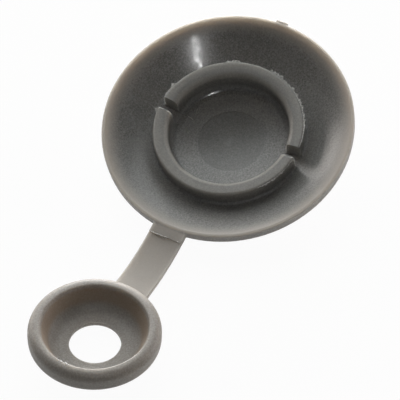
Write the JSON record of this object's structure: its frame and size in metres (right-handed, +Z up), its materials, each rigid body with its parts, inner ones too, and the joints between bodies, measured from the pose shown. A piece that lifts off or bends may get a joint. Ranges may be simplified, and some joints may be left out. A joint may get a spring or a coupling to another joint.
{
  "type": "hinged screw cover cap",
  "caption": "Grey plastic screw cover cap for car trim: domed cover with a slotted snap ring, joined by a short bent strap to a washer cup with a screw hole.",
  "frame": {"origin": "on the table under the middle of the open cap's box", "axes": "+X along the strap from the cover to the washer cup, +Z up from the table the open cap lies on"},
  "size_m": [0.0448, 0.025, 0.0089],
  "materials": {
    "grey_plastic": "satin, fine moulded grain"
  },
  "bodies": {
    "root": {"hinged_screw_cap": "grey_plastic"}
  },
  "joints": []
}
